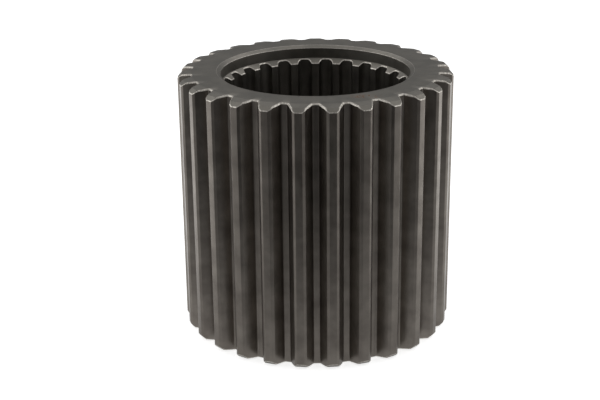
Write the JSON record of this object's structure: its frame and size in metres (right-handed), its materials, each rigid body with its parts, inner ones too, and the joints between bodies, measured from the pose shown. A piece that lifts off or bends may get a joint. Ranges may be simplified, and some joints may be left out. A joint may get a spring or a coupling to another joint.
{
  "type": "splined gear sleeve",
  "caption": "Steel sleeve with straight involute teeth around the outside and an involute spline in its bore, between chamfered counterbores.",
  "frame": {"origin": "on the axis, in the plane of the lower end face that the sleeve stands on", "axes": "+Z along the axis, up through the bore; +Y through the middle of an outer tooth and of a bore tooth; -Y through an outer tooth space"},
  "size_m": [0.084, 0.0838, 0.081],
  "materials": {
    "gear_steel": "dark heat-treated and oiled steel, machined, satin"
  },
  "bodies": {
    "root": {"gear_sleeve": "gear_steel"}
  },
  "joints": []
}
